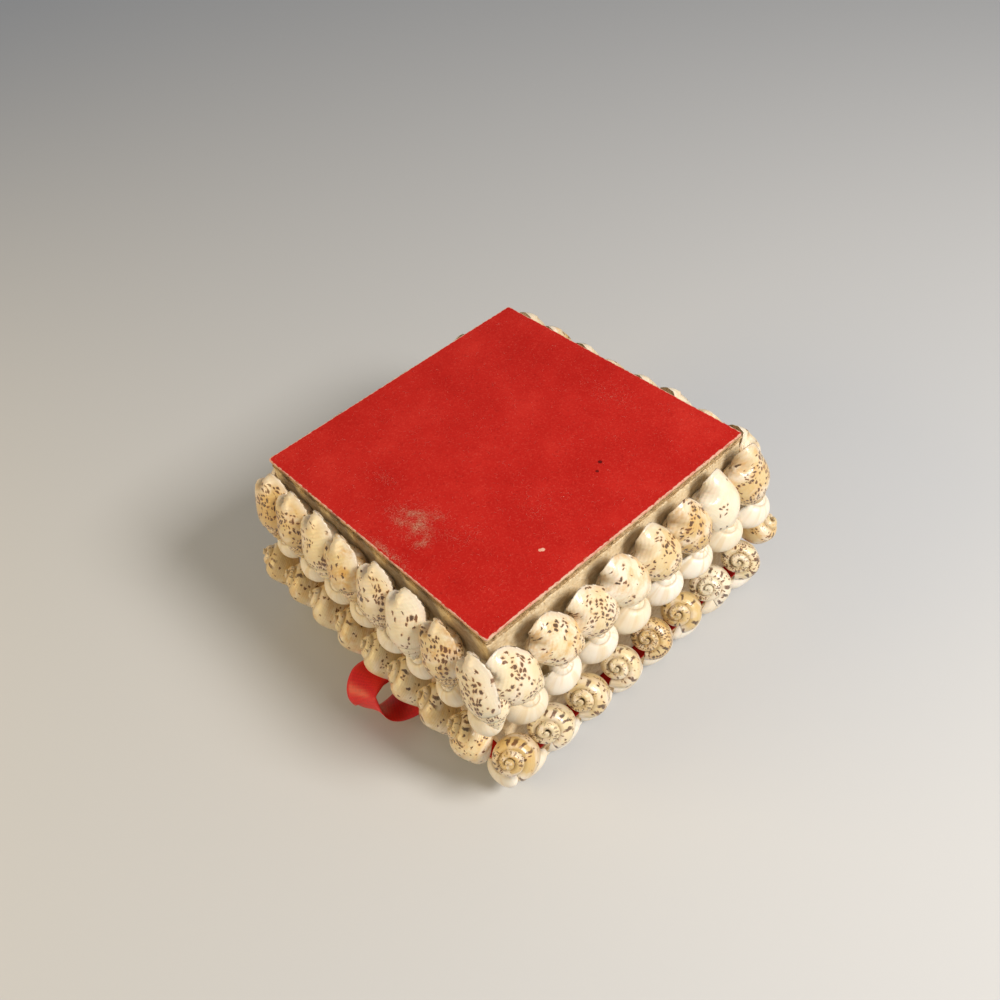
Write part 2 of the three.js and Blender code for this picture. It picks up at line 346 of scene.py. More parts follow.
def bed_tree(name, shell, variants, finish):
    """Sets one of a shell's variants on each point of the bed, turned and sized by its attributes."""
    tree, given = tree_with(name, {"Places": ("Geometry", None)}, "Shells")
    kinds = node(tree, "GeometryNodeGeometryToInstance")
    for variant in variants:
        grown_shell = node(tree, "GeometryNodeGroup", node_tree=shell)
        for label, value in variant.items():
            grown_shell.inputs[label].default_value = value
        tree.links.new(grown_shell.outputs[0], kinds.inputs[0])
    heading = node(tree, "GeometryNodeInputNamedAttribute", {"Name": "heading"}, data_type="FLOAT_VECTOR")
    back = node(tree, "GeometryNodeInputNamedAttribute", {"Name": "back"}, data_type="FLOAT_VECTOR")
    size = node(tree, "GeometryNodeInputNamedAttribute", {"Name": "size"}, data_type="FLOAT_VECTOR")
    kind = node(tree, "GeometryNodeInputNamedAttribute", {"Name": "kind"}, data_type="INT")
    turn = node(
        tree, "FunctionNodeAxesToRotation", {0: heading, 1: back}, primary_axis="Y", secondary_axis="Z"
    )
    set_down = node(
        tree, "GeometryNodeInstanceOnPoints",
        {"Points": given["Places"], "Instance": kinds, "Pick Instance": True, "Instance Index": kind,
         "Rotation": turn, "Scale": size},
    )  # fmt: skip
    real = node(tree, "GeometryNodeRealizeInstances", {"Geometry": set_down})
    finish_node = node(tree, "GeometryNodeSetMaterial", {"Geometry": real, "Material": finish})
    node(tree, "NodeGroupOutput", {0: finish_node})
    return tree


BED_ATTRIBUTES = ("heading", "back", "size", "kind")
COAT = ("tone", "spots", "mottle", "flames", "seed")  # what a shell's own colouring is made from


def bed(name, shells):
    """A mesh of loose points, one for each shell, with its attributes."""
    mesh = bpy.data.meshes.new(name)
    mesh.from_pydata([shell["at"] for shell in shells], [], [])
    for label in ("heading", "back", "size"):
        layer = mesh.attributes.new(label, "FLOAT_VECTOR", "POINT")
        layer.data.foreach_set("vector", [x for shell in shells for x in shell[label]])
    layer = mesh.attributes.new("kind", "INT", "POINT")
    layer.data.foreach_set("value", [shell["kind"] for shell in shells])
    for label in COAT:
        layer = mesh.attributes.new(label, "FLOAT", "POINT")
        layer.data.foreach_set("value", [shell.get(label, 0.0) for shell in shells])
    return mesh


def shell_row(name, tree, shells, replaced):
    piece = grown(name, tree, bed(name + "_places", shells), drop=BED_ATTRIBUTES)
    return finished(piece, replaced)


# ---- Materials ----


def coat_of(tree, labels):
    """The values of a shell's own colouring that the material reads."""
    return [node(tree, "ShaderNodeAttribute", attribute_name=label).outputs["Fac"] for label in labels]


def shell_skin(tree, seed):
    """Places on a shell's skin in millimetres at the lip, along the turn and down the side, and the same
    moved on by the shell's seed, so that no two shells share a pattern."""
    growth = node(tree, "ShaderNodeAttribute", attribute_name="growth").outputs["Vector"]
    flat = vector_maths(tree, "MULTIPLY", growth, (1.0, 1.0, 0.0))
    shift = node(tree, "ShaderNodeCombineXYZ", {0: seed, 1: seed, 2: seed})
    away = vector_maths(tree, "MULTIPLY", shift, (13.7, 7.9, 3.1))
    skin = vector_maths(tree, "ADD", flat, away)
    return node(tree, "ShaderNodeSeparateXYZ", {0: growth}), skin


def blend(tree, factor, under, over):
    """Mixes `over` into `under`; each is a hex colour or a node's colour."""
    sides = [colour(side) if isinstance(side, str) else side for side in (under, over)]
    return node(tree, "ShaderNodeMix", {0: factor, 6: sides[0], 7: sides[1]}, data_type="RGBA").outputs[2]


def stepped(tree, value, low, high, nothing=0.0, full=1.0):
    """Maps low..high of a value to nothing..full."""
    return node(tree, "ShaderNodeMapRange", {0: value, 1: low, 2: high, 3: nothing, 4: full})


def times(tree, *values):
    product = values[0]
    for value in values[1:]:
        product = maths(tree, "MULTIPLY", product, value)
    return product


def spotted_shell():
    """Whelk shell: polished aragonite, so it is glossy, a little translucent, and lined by growth."""
    made, tree, shader = material(
        "whelk_shell", Roughness=0.3, IOR=1.53, Coat_Weight=0.35, Coat_Roughness=0.1, Subsurface_Weight=0.1,
        Subsurface_Radius=(1.0, 0.6, 0.35), Subsurface_Scale=1.0 * MM,
    )  # fmt: skip
    tone, spots, mottle, flames, seed = coat_of(tree, COAT)
    growth, skin = shell_skin(tree, seed)

    # The ground colour, from ivory to tan, with pale areas and clouds of orange.
    ground = ramp(tree, tone, [(0.0, "#EFE6CE"), (0.35, "#E6D4AA"), (0.7, "#D5B87C"), (1.0, "#BA945A")])
    pale = node(tree, "ShaderNodeTexNoise", {"Vector": skin, "Scale": 0.2, "Detail": 2.0})
    washed = blend(tree, stepped(tree, pale, 0.48, 0.62, 0.0, 0.7), ground.outputs[0], "#F1E4D0")
    lip_band = stepped(tree, growth.outputs[0], -2.4, -0.4, 0.0, 0.75)
    siphon_band = stepped(tree, growth.outputs[1], 17.5, 21.0, 0.0, 0.6)
    pale_band = maths(tree, "MAXIMUM", lip_band, siphon_band)
    washed = blend(tree, pale_band, washed, "#EFE3D2")
    clouds = node(
        tree, "ShaderNodeTexNoise", {"Vector": skin, "Scale": 0.38, "Detail": 4.0, "Roughness": 0.62}
    )
    cloudy = times(tree, stepped(tree, clouds, 0.44, 0.66), mottle)
    clouded = blend(tree, cloudy, washed, "#D2A048")

    # Dots in rows round the whorl, about 0.8 mm apart in the row, and rows 1.3 mm apart. They crowd in
    # places.
    jitter = node(tree, "ShaderNodeTexNoise", {"Vector": skin, "Scale": 0.5, "Detail": 1.0})
    pushed = vector_maths(tree, "MULTIPLY", jitter.outputs["Color"], (1.6, 1.6, 0.0))
    moved = vector_maths(tree, "ADD", skin, pushed)
    ragged = node(tree, "ShaderNodeTexNoise", {"Vector": skin, "Scale": 2.2, "Detail": 2.0})
    torn = vector_maths(tree, "MULTIPLY", ragged.outputs["Color"], (0.55, 0.55, 0.0))
    frayed_skin = vector_maths(tree, "ADD", moved, torn)
    cells = node(
        tree, "ShaderNodeMapping",
        {"Vector": frayed_skin, "Rotation": (0, 0, 0.22), "Scale": (1.3, 0.78, 1.0)}
    )
    dots = node(
        tree, "ShaderNodeTexVoronoi", {"Vector": cells, "Scale": 1.0, "Randomness": 0.62},
        voronoi_dimensions="2D"
    )
    lots = node(tree, "ShaderNodeSeparateColor", {0: dots.outputs["Color"]})
    crowd = node(tree, "ShaderNodeTexNoise", {"Vector": skin, "Scale": 0.3, "Detail": 1.0})
    grown_up = stepped(tree, growth.outputs[2], 0.18, 0.5, 0.25, 1.0)
    off_siphon = stepped(tree, growth.outputs[1], 17.0, 20.5, 1.0, 0.15)
    off_lip = stepped(tree, growth.outputs[0], -2.6, -0.6, 1.0, 0.1)
    chance = times(tree, stepped(tree, crowd, 0.40, 0.56, 0.12, 1.5), spots, grown_up, off_siphon, off_lip)
    there = maths(tree, "LESS_THAN", lots.outputs[0], chance)
    dot_size = stepped(tree, lots.outputs[1], 0.0, 1.0, 0.22, 0.44)
    inside = maths(tree, "SUBTRACT", dot_size, dots.outputs["Distance"])
    halo = times(tree, stepped(tree, inside, -0.28, 0.05), there, 0.5)
    haloed = blend(tree, halo, clouded, "#C8904A")
    dotted = times(tree, stepped(tree, inside, -0.04, 0.08), there)

    # A row of dashes on the shoulder of each whorl, 1.9 mm apart at the lip, as the spires show.
    ahead = node(tree, "ShaderNodeSeparateXYZ", {0: moved})
    strokes = node(
        tree, "ShaderNodeTexVoronoi",
        {"W": times(tree, ahead.outputs[0], 1 / 1.9), "Scale": 1.0, "Randomness": 0.5},
        voronoi_dimensions="1D",
    )  # fmt: skip
    stroke_lots = node(tree, "ShaderNodeSeparateColor", {0: strokes.outputs["Color"]})
    stroke_there = maths(tree, "LESS_THAN", stroke_lots.outputs[0], flames)
    top, foot = stepped(tree, growth.outputs[1], 8.4, 9.0), stepped(tree, growth.outputs[1], 12.0, 10.6)
    barred = times(
        tree, stepped(tree, strokes.outputs["Distance"], 0.26, 0.16), stroke_there, top, foot, grown_up
    )
    marks = maths(tree, "MAXIMUM", dotted, barred)
    ink = blend(tree, lots.outputs[2], "#35201A", "#6A3E20")
    marked = blend(tree, times(tree, marks, 0.9), haloed, ink)

    # A darker brown band along the suture, where a whorl meets the one before it, faint near the apex.
    beyond_apex = stepped(tree, growth.outputs[2], 0.2, 0.6)
    darker_suture = blend(
        tree, times(tree, stepped(tree, growth.outputs[1], 7.9, 8.6, 0.32, 0.0), beyond_apex), marked,
        "#80602F"
    )
    tree.links.new(darker_suture, shader.inputs["Base Color"])

    # Cords round the whorl, 0.8 mm apart, and growth lines across it break up the gloss.
    wander = node(tree, "ShaderNodeTexNoise", {"Vector": skin, "Scale": 0.5, "Detail": 2.0})
    level = maths(tree, "MULTIPLY_ADD", wander, 0.7, growth.outputs[1])
    cords = maths(tree, "SINE", times(tree, level, math.tau / 0.8))
    lines = node(tree, "ShaderNodeMapping", {"Vector": skin, "Scale": (2.4, 0.4, 1.0)})
    growth_lines = node(tree, "ShaderNodeTexNoise", {"Vector": lines, "Scale": 1.0, "Detail": 3.0})
    relief = maths(tree, "MULTIPLY_ADD", cords, 0.18, growth_lines)
    bump = node(tree, "ShaderNodeBump", {"Height": relief, "Strength": 0.55, "Distance": 0.16 * MM})
    tree.links.new(bump.outputs[0], shader.inputs["Normal"])
    return made


def white_shell():
    """Moon shell: bleached white aragonite, satin, with curved growth lines."""
    made, tree, shader = material(
        "moon_shell", Roughness=0.42, IOR=1.53, Coat_Weight=0.15, Coat_Roughness=0.3, Subsurface_Weight=0.15,
        Subsurface_Radius=(1.0, 0.7, 0.45), Subsurface_Scale=1.2 * MM,
    )  # fmt: skip
    tone, seed = coat_of(tree, ("tone", "seed"))
    growth, skin = shell_skin(tree, seed)
    ground = ramp(tree, tone, [(0.0, "#F0E9DC"), (0.5, "#E9DEC8"), (1.0, "#DCC8A0")])
    bands = node(tree, "ShaderNodeMapping", {"Vector": skin, "Scale": (0.55, 0.05, 1.0)})
    banding = node(tree, "ShaderNodeTexNoise", {"Vector": bands, "Scale": 1.0, "Detail": 4.0})
    banded = blend(tree, stepped(tree, banding, 0.48, 0.66, 0.0, 0.6), ground.outputs[0], "#DCC498")
    # A darker brown band along the suture.
    darker_suture = blend(tree, stepped(tree, growth.outputs[1], 3.9, 4.5, 0.35, 0.0), banded, "#B89868")
    tree.links.new(darker_suture, shader.inputs["Base Color"])
    lines = node(tree, "ShaderNodeMapping", {"Vector": skin, "Scale": (2.2, 0.12, 1.0)})
    growth_lines = node(tree, "ShaderNodeTexNoise", {"Vector": lines, "Scale": 1.0, "Detail": 3.0})
    bump = node(tree, "ShaderNodeBump", {"Height": growth_lines, "Strength": 0.35, "Distance": 0.2 * MM})
    tree.links.new(bump.outputs[0], shader.inputs["Normal"])
    return made


def in_mm(tree):
    """Object coordinates in millimetres."""
    coordinates = node(tree, "ShaderNodeTexCoord")
    scaled = vector_maths(tree, "MULTIPLY", coordinates.outputs["Object"], (1 / MM,) * 3)
    return scaled.outputs[0]


SPECKS = [  # along x and y from the base's middle, radius, colour: what has stuck to the flock
    ((29.4, -15.4), 0.4, "#E0A890"),
    ((29.7, -14.9), 0.45, "#E4B49E"),
    ((20.8, 11.1), 0.5, "#5A0A0C"),
    ((22.3, 8.6), 0.4, "#6A0C0C"),
]


def flocked_paper():
    """Flocked paper: short rayon fibres on paper, matt, with a soft sheen and a fine grit."""
    made, tree, shader = material(
        "flocked_paper", Roughness=0.92, IOR=1.45, Sheen_Weight=0.12, Sheen_Roughness=0.5,
        Sheen_Tint=colour("#FF6A58"), Specular_IOR_Level=0.15,
    )  # fmt: skip
    at = in_mm(tree)
    broad = node(tree, "ShaderNodeTexNoise", {"Vector": at, "Scale": 0.07, "Detail": 3.0, "Roughness": 0.6})
    ground = ramp(tree, broad.outputs[0], [(0.3, "#B01712"), (0.55, "#BA1F19"), (0.75, "#C42A22")])
    grit = node(tree, "ShaderNodeTexNoise", {"Vector": at, "Scale": 2.6, "Detail": 3.0, "Roughness": 0.7})
    flecked = blend(tree, stepped(tree, grit, 0.52, 0.78, 0.0, 0.5), ground.outputs[0], "#DE5446")
    pits = node(tree, "ShaderNodeTexNoise", {"Vector": at, "Scale": 1.4, "Detail": 2.0})
    pitted = blend(tree, stepped(tree, pits, 0.58, 0.78, 0.0, 0.5), flecked, "#96100E")
    worn = node(tree, "ShaderNodeAttribute", attribute_name="worn").outputs["Fac"]
    patchy = node(tree, "ShaderNodeTexNoise", {"Vector": at, "Scale": 0.9, "Detail": 3.0})
    rub = times(tree, stepped(tree, worn, 0.1, 1.0, 0.0, 0.6), stepped(tree, patchy, 0.42, 0.60))
    faded = blend(tree, rub, pitted, "#B06048")
    rim = node(tree, "ShaderNodeAttribute", attribute_name="rim").outputs["Fac"]
    bare = times(tree, rim, stepped(tree, patchy, 0.35, 0.65, 0.75, 1.25))
    faded = blend(tree, stepped(tree, bare, 0.7, 0.95, 0.0, 0.7), faded, "#E8CAB4")
    for (x, y), radius, code in SPECKS:
        off = vector_maths(tree, "DISTANCE", at, (PANEL.x / MM + x, PANEL.y / MM + y, HEIGHT))
        rim = maths(tree, "MULTIPLY_ADD", pits, -0.8 * radius, off.outputs["Value"])
        faded = blend(tree, stepped(tree, rim, 0.75 * radius, 0.45 * radius), faded, code)
    tree.links.new(faded, shader.inputs["Base Color"])
    bump = node(tree, "ShaderNodeBump", {"Height": grit, "Strength": 0.5, "Distance": 0.12 * MM})
    tree.links.new(bump.outputs[0], shader.inputs["Normal"])
    return made


def card(name, face_code, fleck_code, stain_code, stain, grain):
    """Greyboard: pressed paper fibre, matt and tan, with stains or layers of a grain per millimetre along
    X, Y and Z. `stain` is how strong they are."""
    made, tree, shader = material(name, Roughness=0.88, IOR=1.45, Specular_IOR_Level=0.25)
    at = in_mm(tree)
    fibre = node(tree, "ShaderNodeTexNoise", {"Vector": at, "Scale": 1.1, "Detail": 5.0, "Roughness": 0.7})
    flecked = blend(tree, stepped(tree, fibre, 0.35, 0.65), face_code, fleck_code)
    stretched = node(tree, "ShaderNodeMapping", {"Vector": at, "Scale": grain})
    layers = node(
        tree, "ShaderNodeTexNoise", {"Vector": stretched, "Scale": 1.0, "Detail": 4.0, "Roughness": 0.65}
    )
    stained = blend(tree, stepped(tree, layers, 0.47, 0.66, 0.0, stain), flecked, stain_code)
    tree.links.new(stained, shader.inputs["Base Color"])
    relief = maths(tree, "SUBTRACT", fibre, layers)
    bump = node(tree, "ShaderNodeBump", {"Height": relief, "Strength": 0.8, "Distance": 0.3 * MM})
    tree.links.new(bump.outputs[0], shader.inputs["Normal"])
    return made


def cut_paper():
    """The cut edge of the flocked paper, where the white paper under the red shows."""
    made, tree, shader = material("cut_paper_edge", Roughness=0.9, IOR=1.45)
    at = in_mm(tree)
    stain = node(tree, "ShaderNodeTexNoise", {"Vector": at, "Scale": 0.35, "Detail": 3.0})
    edge = ramp(tree, stain.outputs[0], [(0.35, "#E8CDB4"), (0.6, "#E0A08C"), (0.75, "#B8503E")])
    tree.links.new(edge.outputs[0], shader.inputs["Base Color"])
    return made


def lint():
    """Loose textile fibres: matt and pale, from pink to greyish tan where they are dense."""
    made, tree, shader = material("lint_fibres", Roughness=0.8, IOR=1.5, Sheen_Weight=0.4)
    worn = node(tree, "ShaderNodeAttribute", attribute_name="worn").outputs["Fac"]
    shade = ramp(tree, worn, [(0.0, "#DC5C4E"), (0.12, "#DC6A5A"), (0.5, "#DE8E76"), (1.0, "#DAB090")])
    tree.links.new(shade.outputs[0], shader.inputs["Base Color"])
    return made


def frayed():
    """Paper fibres and dried hide-coloured glue strings along the cut card, golden in the light."""
    made, tree, shader = material("frayed_card_fibres", Roughness=0.6, IOR=1.5)
    at = in_mm(tree)
    shade = node(tree, "ShaderNodeTexNoise", {"Vector": at, "Scale": 0.8, "Detail": 2.0})
    fibres = ramp(tree, shade.outputs[0], [(0.35, "#C09A60"), (0.55, "#DCBC86"), (0.7, "#EED8AC")])
    tree.links.new(fibres.outputs[0], shader.inputs["Base Color"])
    return made


def grosgrain():
    """Red grosgrain ribbon: polyester, ribbed across, with a satin sheen."""
    made, tree, shader = material(
        "grosgrain_ribbon", Roughness=0.38, IOR=1.5, Sheen_Weight=0.3, Sheen_Roughness=0.35,
        Sheen_Tint=colour("#FF9080"),
    )  # fmt: skip
    weave = node(tree, "ShaderNodeAttribute", attribute_name="weave")
    ribs = node(tree, "ShaderNodeSeparateXYZ", {0: weave.outputs["Vector"]})
    turns = maths(tree, "MULTIPLY", ribs.outputs[0], math.tau / RIB_PITCH)
    wave = maths(tree, "COSINE", turns)
    # Painted shade: the colour darkens to deep red in the grooves between the ribs.
    rib_groove_shade = node(tree, "ShaderNodeMapRange", {0: wave, 1: -1.0, 2: 0.2, 3: 0.12, 4: 0.0})
    fine = node(tree, "ShaderNodeMapping", {"Vector": weave.outputs["Vector"], "Scale": (0.8, 5.0, 1.0)})
    threads = node(tree, "ShaderNodeTexNoise", {"Vector": fine, "Scale": 1.0, "Detail": 2.0})
    shade = ramp(tree, threads.outputs[0], [(0.3, "#CC120C"), (0.6, "#E21A10")])
    ribbed = node(
        tree, "ShaderNodeMix", {0: rib_groove_shade, 6: shade.outputs[0], 7: colour("#7C0606")}, data_type="RGBA"
    )
    tree.links.new(ribbed.outputs[2], shader.inputs["Base Color"])
    bump = node(tree, "ShaderNodeBump", {"Height": threads, "Strength": 0.3, "Distance": 0.05 * MM})
    tree.links.new(bump.outputs[0], shader.inputs["Normal"])
    return made


RIB_PITCH = 0.7
whelk_finish = spotted_shell()
moon_finish = white_shell()
flock_finish = flocked_paper()
board_finish = card("base_card", "#A8855A", "#E0C8A0", "#4A331C", 0.85, (0.5, 0.5, 2.4))
# The wall's card is coloured paler than it is: painted light that makes up for the shade under the
# overhanging base and shells.
wall_finish_painted_light = card("body_card", "#E0CAA0", "#F2E4C6", "#A2855A", 0.45, (0.28, 0.28, 0.4))
paper_edge_finish = cut_paper()
lint_finish = lint()
frayed_finish = frayed()
ribbon_finish = grosgrain()


# ---- Card and paper ----


def square_ring(half, z, corner, steps, ragged, seed):
    """Points anticlockwise round a square with rounded corners, its edges a little ragged."""
    points = []
    for side in range(4):
        for i in range(steps):
            along = (2 * i / steps - 1) * (half - corner)
            points.append((direction(side, along, half, 0.0), side))
        for i in range(5):
            angle = i * math.pi / 10
            turn = (half - corner + corner * math.sin(angle), half - corner + corner * math.cos(angle))
            points.append((direction(side, turn[0], turn[1], 0.0), side))
    ring = []
    for point, _ in points:
        rough = noise.noise(Vector((point.x * 0.9, point.y * 0.9, seed + z * 2.1)))
        slow = noise.noise(Vector((point.x * 0.11, point.y * 0.11, seed * 3.7)))
        scale = 1 + ragged * (0.6 * rough + slow) / half
        ring.append((PANEL.x + MM * point.x * scale, PANEL.y + MM * point.y * scale, MM * z))
    return ring


def stacked(name, rings, finish, corner=0.6, steps=64, ragged=0.05, seed=1.0):
    """A closed solid through square rings, given as (half side, height), with flat ends."""
    loops = [square_ring(half, z, corner, steps, ragged, seed) for half, z in rings]
    count = len(loops[0])
    faces = [tuple(range(count - 1, -1, -1))]
    for level in range(len(loops) - 1):
        for k in range(count):
            a, b = level * count + k, level * count + (k + 1) % count
            faces.append((a, b, b + count, a + count))
    faces.append(tuple((len(loops) - 1) * count + k for k in range(count)))
    mesh = bpy.data.meshes.new(name)
    mesh.from_pydata([p for loop in loops for p in loop], [], faces)
    mesh.update()
    return linked(name, mesh, finish)


def slab(name, node_name, finish, edge=0.12, **form):
    """A sheet of card or paper where its CAD node is."""
    low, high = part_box(node_name)
    half, bottom, top = (high.x - low.x) / 2 / MM, low.z / MM, high.z / MM
    rings = [(half - edge, bottom), (half, bottom + edge), (half, top - edge), (half - edge, top)]
    return finished(stacked(name, rings, finish, **form), (node_name,))


WORN = [  # along x and y from the base's middle, half widths, strength: where the flock is rubbed
    ((3.6, -27.6), (5.0, 2.6), 0.9),
    ((8.2, -30.0), (2.4, 1.8), 0.8),
    ((5.8, -23.6), (2.4, 1.6), 0.45),
    ((6.0, -37.8), (5.5, 1.3), 0.95),
    ((-14.0, -38.4), (5.0, 0.5), 0.4),
    ((-11.5, -24.0), (4.0, 1.5), 0.12),
    ((6.5, 29.2), (6.0, 3.0), 0.10),
    ((19.0, -8.0), (6.0, 5.0), 0.05),
    ((13.0, -24.0), (5.0, 4.0), 0.08),
]


def worn_at(x, y):
    """How rubbed the flock is, from 0 to 1, at a place in millimetres from the base's middle."""
    broken = 0.5 + 1.1 * noise.noise(Vector((x * 0.45, y * 0.45, 5.0)))
    reach = [
        strength * math.exp(-(((x - cx) / rx) ** 2) - (((y - cy) / ry) ** 2))
        for (cx, cy), (rx, ry), strength in WORN
    ]
    return min(1.0, max(0.0, max(reach) * 2 * broken))


def base_covering():
    """The red flocked paper on the base: its face is a fine grid that keeps where it is worn."""
    low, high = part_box("base_covering")
    steps, edge = 64, 0.1
    rings = [
        (HALF - edge, low.z / MM - 0.2), (HALF, low.z / MM - 0.1), (HALF, HEIGHT - 0.14),
        (HALF - 0.06, HEIGHT - 0.04)
    ]
    loops = [square_ring(half, z, 0.5, 64, 0.07, 8.0) for half, z in rings]
    count = len(loops[0])
    vertices = [p for loop in loops for p in loop]
    faces = [tuple(range(count - 1, -1, -1))]
    materials = [1]
    for level in range(len(loops) - 1):
        for k in range(count):
            a, b = level * count + k, level * count + (k + 1) % count
            faces.append((a, b, b + count, a + count))
            materials.append(1 if level < 2 else 0)
    # Concentric rings carry the top face from its edge to the middle.
    outer = loops[-1]
    start = (len(loops) - 1) * count
    shares = [1 - i / steps for i in range(1, steps)]
    for share in shares:
        for x, y, z in outer:
            px, py = (x - PANEL.x) * share, (y - PANEL.y) * share
            lift = 0.03 * noise.noise(Vector((px / MM * 0.12, py / MM * 0.12, 2.0)))
            vertices.append((PANEL.x + px, PANEL.y + py, MM * (HEIGHT - 0.035 + lift)))
    for level in range(len(shares)):
        for k in range(count):
            a, b = start + level * count + k, start + level * count + (k + 1) % count
            faces.append((a, b, b + count, a + count))
            materials.append(0)
    last = start + len(shares) * count
    faces.append(tuple(last + k for k in range(count)))
    materials.append(0)
    mesh = bpy.data.meshes.new("base_flock_paper")
    mesh.from_pydata(vertices, [], faces)
    mesh.polygons.foreach_set("material_index", materials)
    layer = mesh.attributes.new("worn", "FLOAT", "POINT")
    layer.data.foreach_set("value", [worn_at((x - PANEL.x) / MM, (y - PANEL.y) / MM) for x, y, _ in vertices])
    layer = mesh.attributes.new("rim", "FLOAT", "POINT")
    layer.data.foreach_set("value", [float(k < len(loops) * count) for k in range(len(vertices))])
    mesh.update()
    piece = linked("base_flock_paper", mesh, flock_finish, paper_edge_finish)
    return finished(piece, ("base_covering",))


base_covering()
base_half = HALF - 0.1
board_low, board_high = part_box("base_board")
for ply in range(3):
    thick = (board_high.z - board_low.z) / MM / 3
    bottom = board_low.z / MM + ply * thick
    half = base_half - (0.1, 0.5, 0.0)[ply]
    piece = stacked(
        f"base_card_ply_{ply + 1}",
        [
            (half - 0.1, bottom + 0.01), (half, bottom + 0.1),
            (half, bottom + thick - 0.1), (half - 0.1, bottom + thick - 0.02),
        ],
        board_finish, steps=150, ragged=0.36, seed=20.0 + ply,
    )  # fmt: skip
    finished(piece, ("base_board",) if ply == 0 else ())

body_low, body_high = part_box("card_body")
WALL = 2.0
body_half = (body_high.x - body_low.x) / 2 / MM
body_floor = body_high.z / MM - WALL
finished(
    stacked(
        "card_box",
        [
            (body_half - WALL, body_floor), (body_half - WALL, body_low.z / MM + 0.1),
            (body_half - WALL + 0.1, body_low.z / MM), (body_half - 0.1, body_low.z / MM),
            (body_half, body_low.z / MM + 0.1), (body_half, body_high.z / MM - 0.2),
            (body_half - 0.2, body_high.z / MM),
        ],
        wall_finish_painted_light, ragged=0.05, seed=3.0,
    ),
    ("card_body",),
)  # fmt: skip
slab("lid_lining_paper", "lid_lining", flock_finish, seed=5.0)
slab("lid_card", "lid_board", board_finish, seed=6.0, ragged=0.1)
slab("lid_flock_paper", "lid_covering", flock_finish, seed=7.0)


# ---- The rows of shells ----

WHELK = dict(length=18.2, width=11.6, height=8.8, along=1.3, pitch=9.95, out=5.6, drop=9.6)
WHELK_SHIFT = {
    "front": (0.0, -1.5, -1.1), "right": (-1.2, -1.2, -1.0), "back": (0.0, -1.2, 2.3),
    "left": (0.0, -1.3, 2.6),
}  # millimetres along, out and down that each side's row stands off the even place
WHELK_TURN = {
    "front": [(18, 20), (14, 18), (20, 20), (27, 18), (14, 20), (18, 20), (22, 18), (33, 14)],
    "right": [(42, 17), (46, 15), (52, 10), (44, 13), (40, 16), (36, 14), (26, 16), (20, 15)],
    "back": [(24, 18), (28, 22), (21, 14), (30, 20), (26, 25), (32, 18), (23, 20), (27, 16)],
    "left": [(27, 20), (22, 16), (31, 22), (25, 18), (29, 24), (21, 18), (34, 16), (26, 20)],
}  # degrees each spire leans to the right, and tilts outwards
WHELK_NUDGE = {
    ("front", 1): (1.0, 0.6), ("front", 3): (0.5, -0.4), ("front", 5): (0.7, 0.2), ("front", 6): (1.2, 0.3),
    ("front", 7): (2.4, 0.3), ("front", 8): (4.6, 0.6), ("left", 8): (-2.6, 1.0),
    ("right", 1): (-1.7, 0.4), ("right", 3): (0.2, 0.6),
    ("right", 7): (-0.6, 0),
}  # millimetres along and down from the even row
MOON = dict(width=10.6, height=9.6, depth=7.6, along=1.7, pitch=10.15, out=3.3, drop=23.4)
MOON_STRETCH = {"right": 0.25}  # millimetres more from each moon shell of a side to the next
SPIRE = dict(length=12.6, width=10.2, height=9.8, along=-3.8, pitch=10.35, out=5.6, drop=33.9)
SPIRE_AXIS = (-0.61, 0.46, 0.64)  # along, out and up, from the siphon end to the spire
EDGE = dict(width=10.4, height=7.8, depth=4.4, along=1.2, pitch=10.45, drop=45.9, sunk=2.3)
TOP = dict(width=9.8, height=9.8, along=0.0, pitch=9.9, inset=5.4)
TOP_COUNT = 7

# Each shell's colouring as (tone, spots, mottle): ground from ivory to tan, dots, orange clouds.
WHELK_COATS = {
    "front": [(0.75, 0.9, 0.3), (0.65, 0.7, 0.4), (0.35, 0.4, 0.2), (0.5, 0.3, 0.8), (0.45, 0.95, 0.1),
              (0.1, 0.18, 0.2), (0.45, 0.85, 0.7), (0.2, 0.7, 0.1)],
    "right": [(0.3, 0.62, 0.1), (0.3, 0.5, 0.75), (0.3, 0.9, 0.35), (0.1, 0.2, 0.6), (0.5, 0.5, 0.3),
              (0.75, 0.85, 0.6), (0.05, 0.1, 0.12), (0.6, 0.7, 0.5)],
}  # fmt: skip
SPIRE_COATS = {
    "front": [(0.6, 0.1, 0.3), (0.5, 0.15, 0.5), (0.3, 0.1, 0.5), (0.4, 0.1, 0.6), (0.35, 0.2, 0.2),
              (0.3, 0.1, 0.4), (0.5, 0.15, 0.4), (0.45, 0.3, 0.5)],
    "right": [(0.75, 0.25, 0.2), (0.3, 0.2, 0.1), (0.5, 0.35, 0.2), (0.35, 0.35, 0.2), (0.55, 1.0, 0.7),
              (0.65, 0.1, 0.2), (0.1, 0.35, 0.0), (0.3, 0.7, 0.1)],
}  # fmt: skip

dice = random.Random(41)


def coat(coats, side_name, i):
    """The colouring that a shell was given, or a drawn one on the sides that have no list."""
    if side_name in coats:
        return dict(zip(COAT, coats[side_name][i]))
    most = 0.2 if coats is SPIRE_COATS else 0.9
    return dict(tone=dice.uniform(0.05, 0.8), spots=dice.uniform(0.1, most), mottle=dice.uniform(0.0, 0.7))


def sized(width, length, height, spread=0.06):
    """A shell's own size: within `spread` below the row's."""
    return [MM * value * dice.uniform(1 - spread, 1) for value in (width, length, height)]


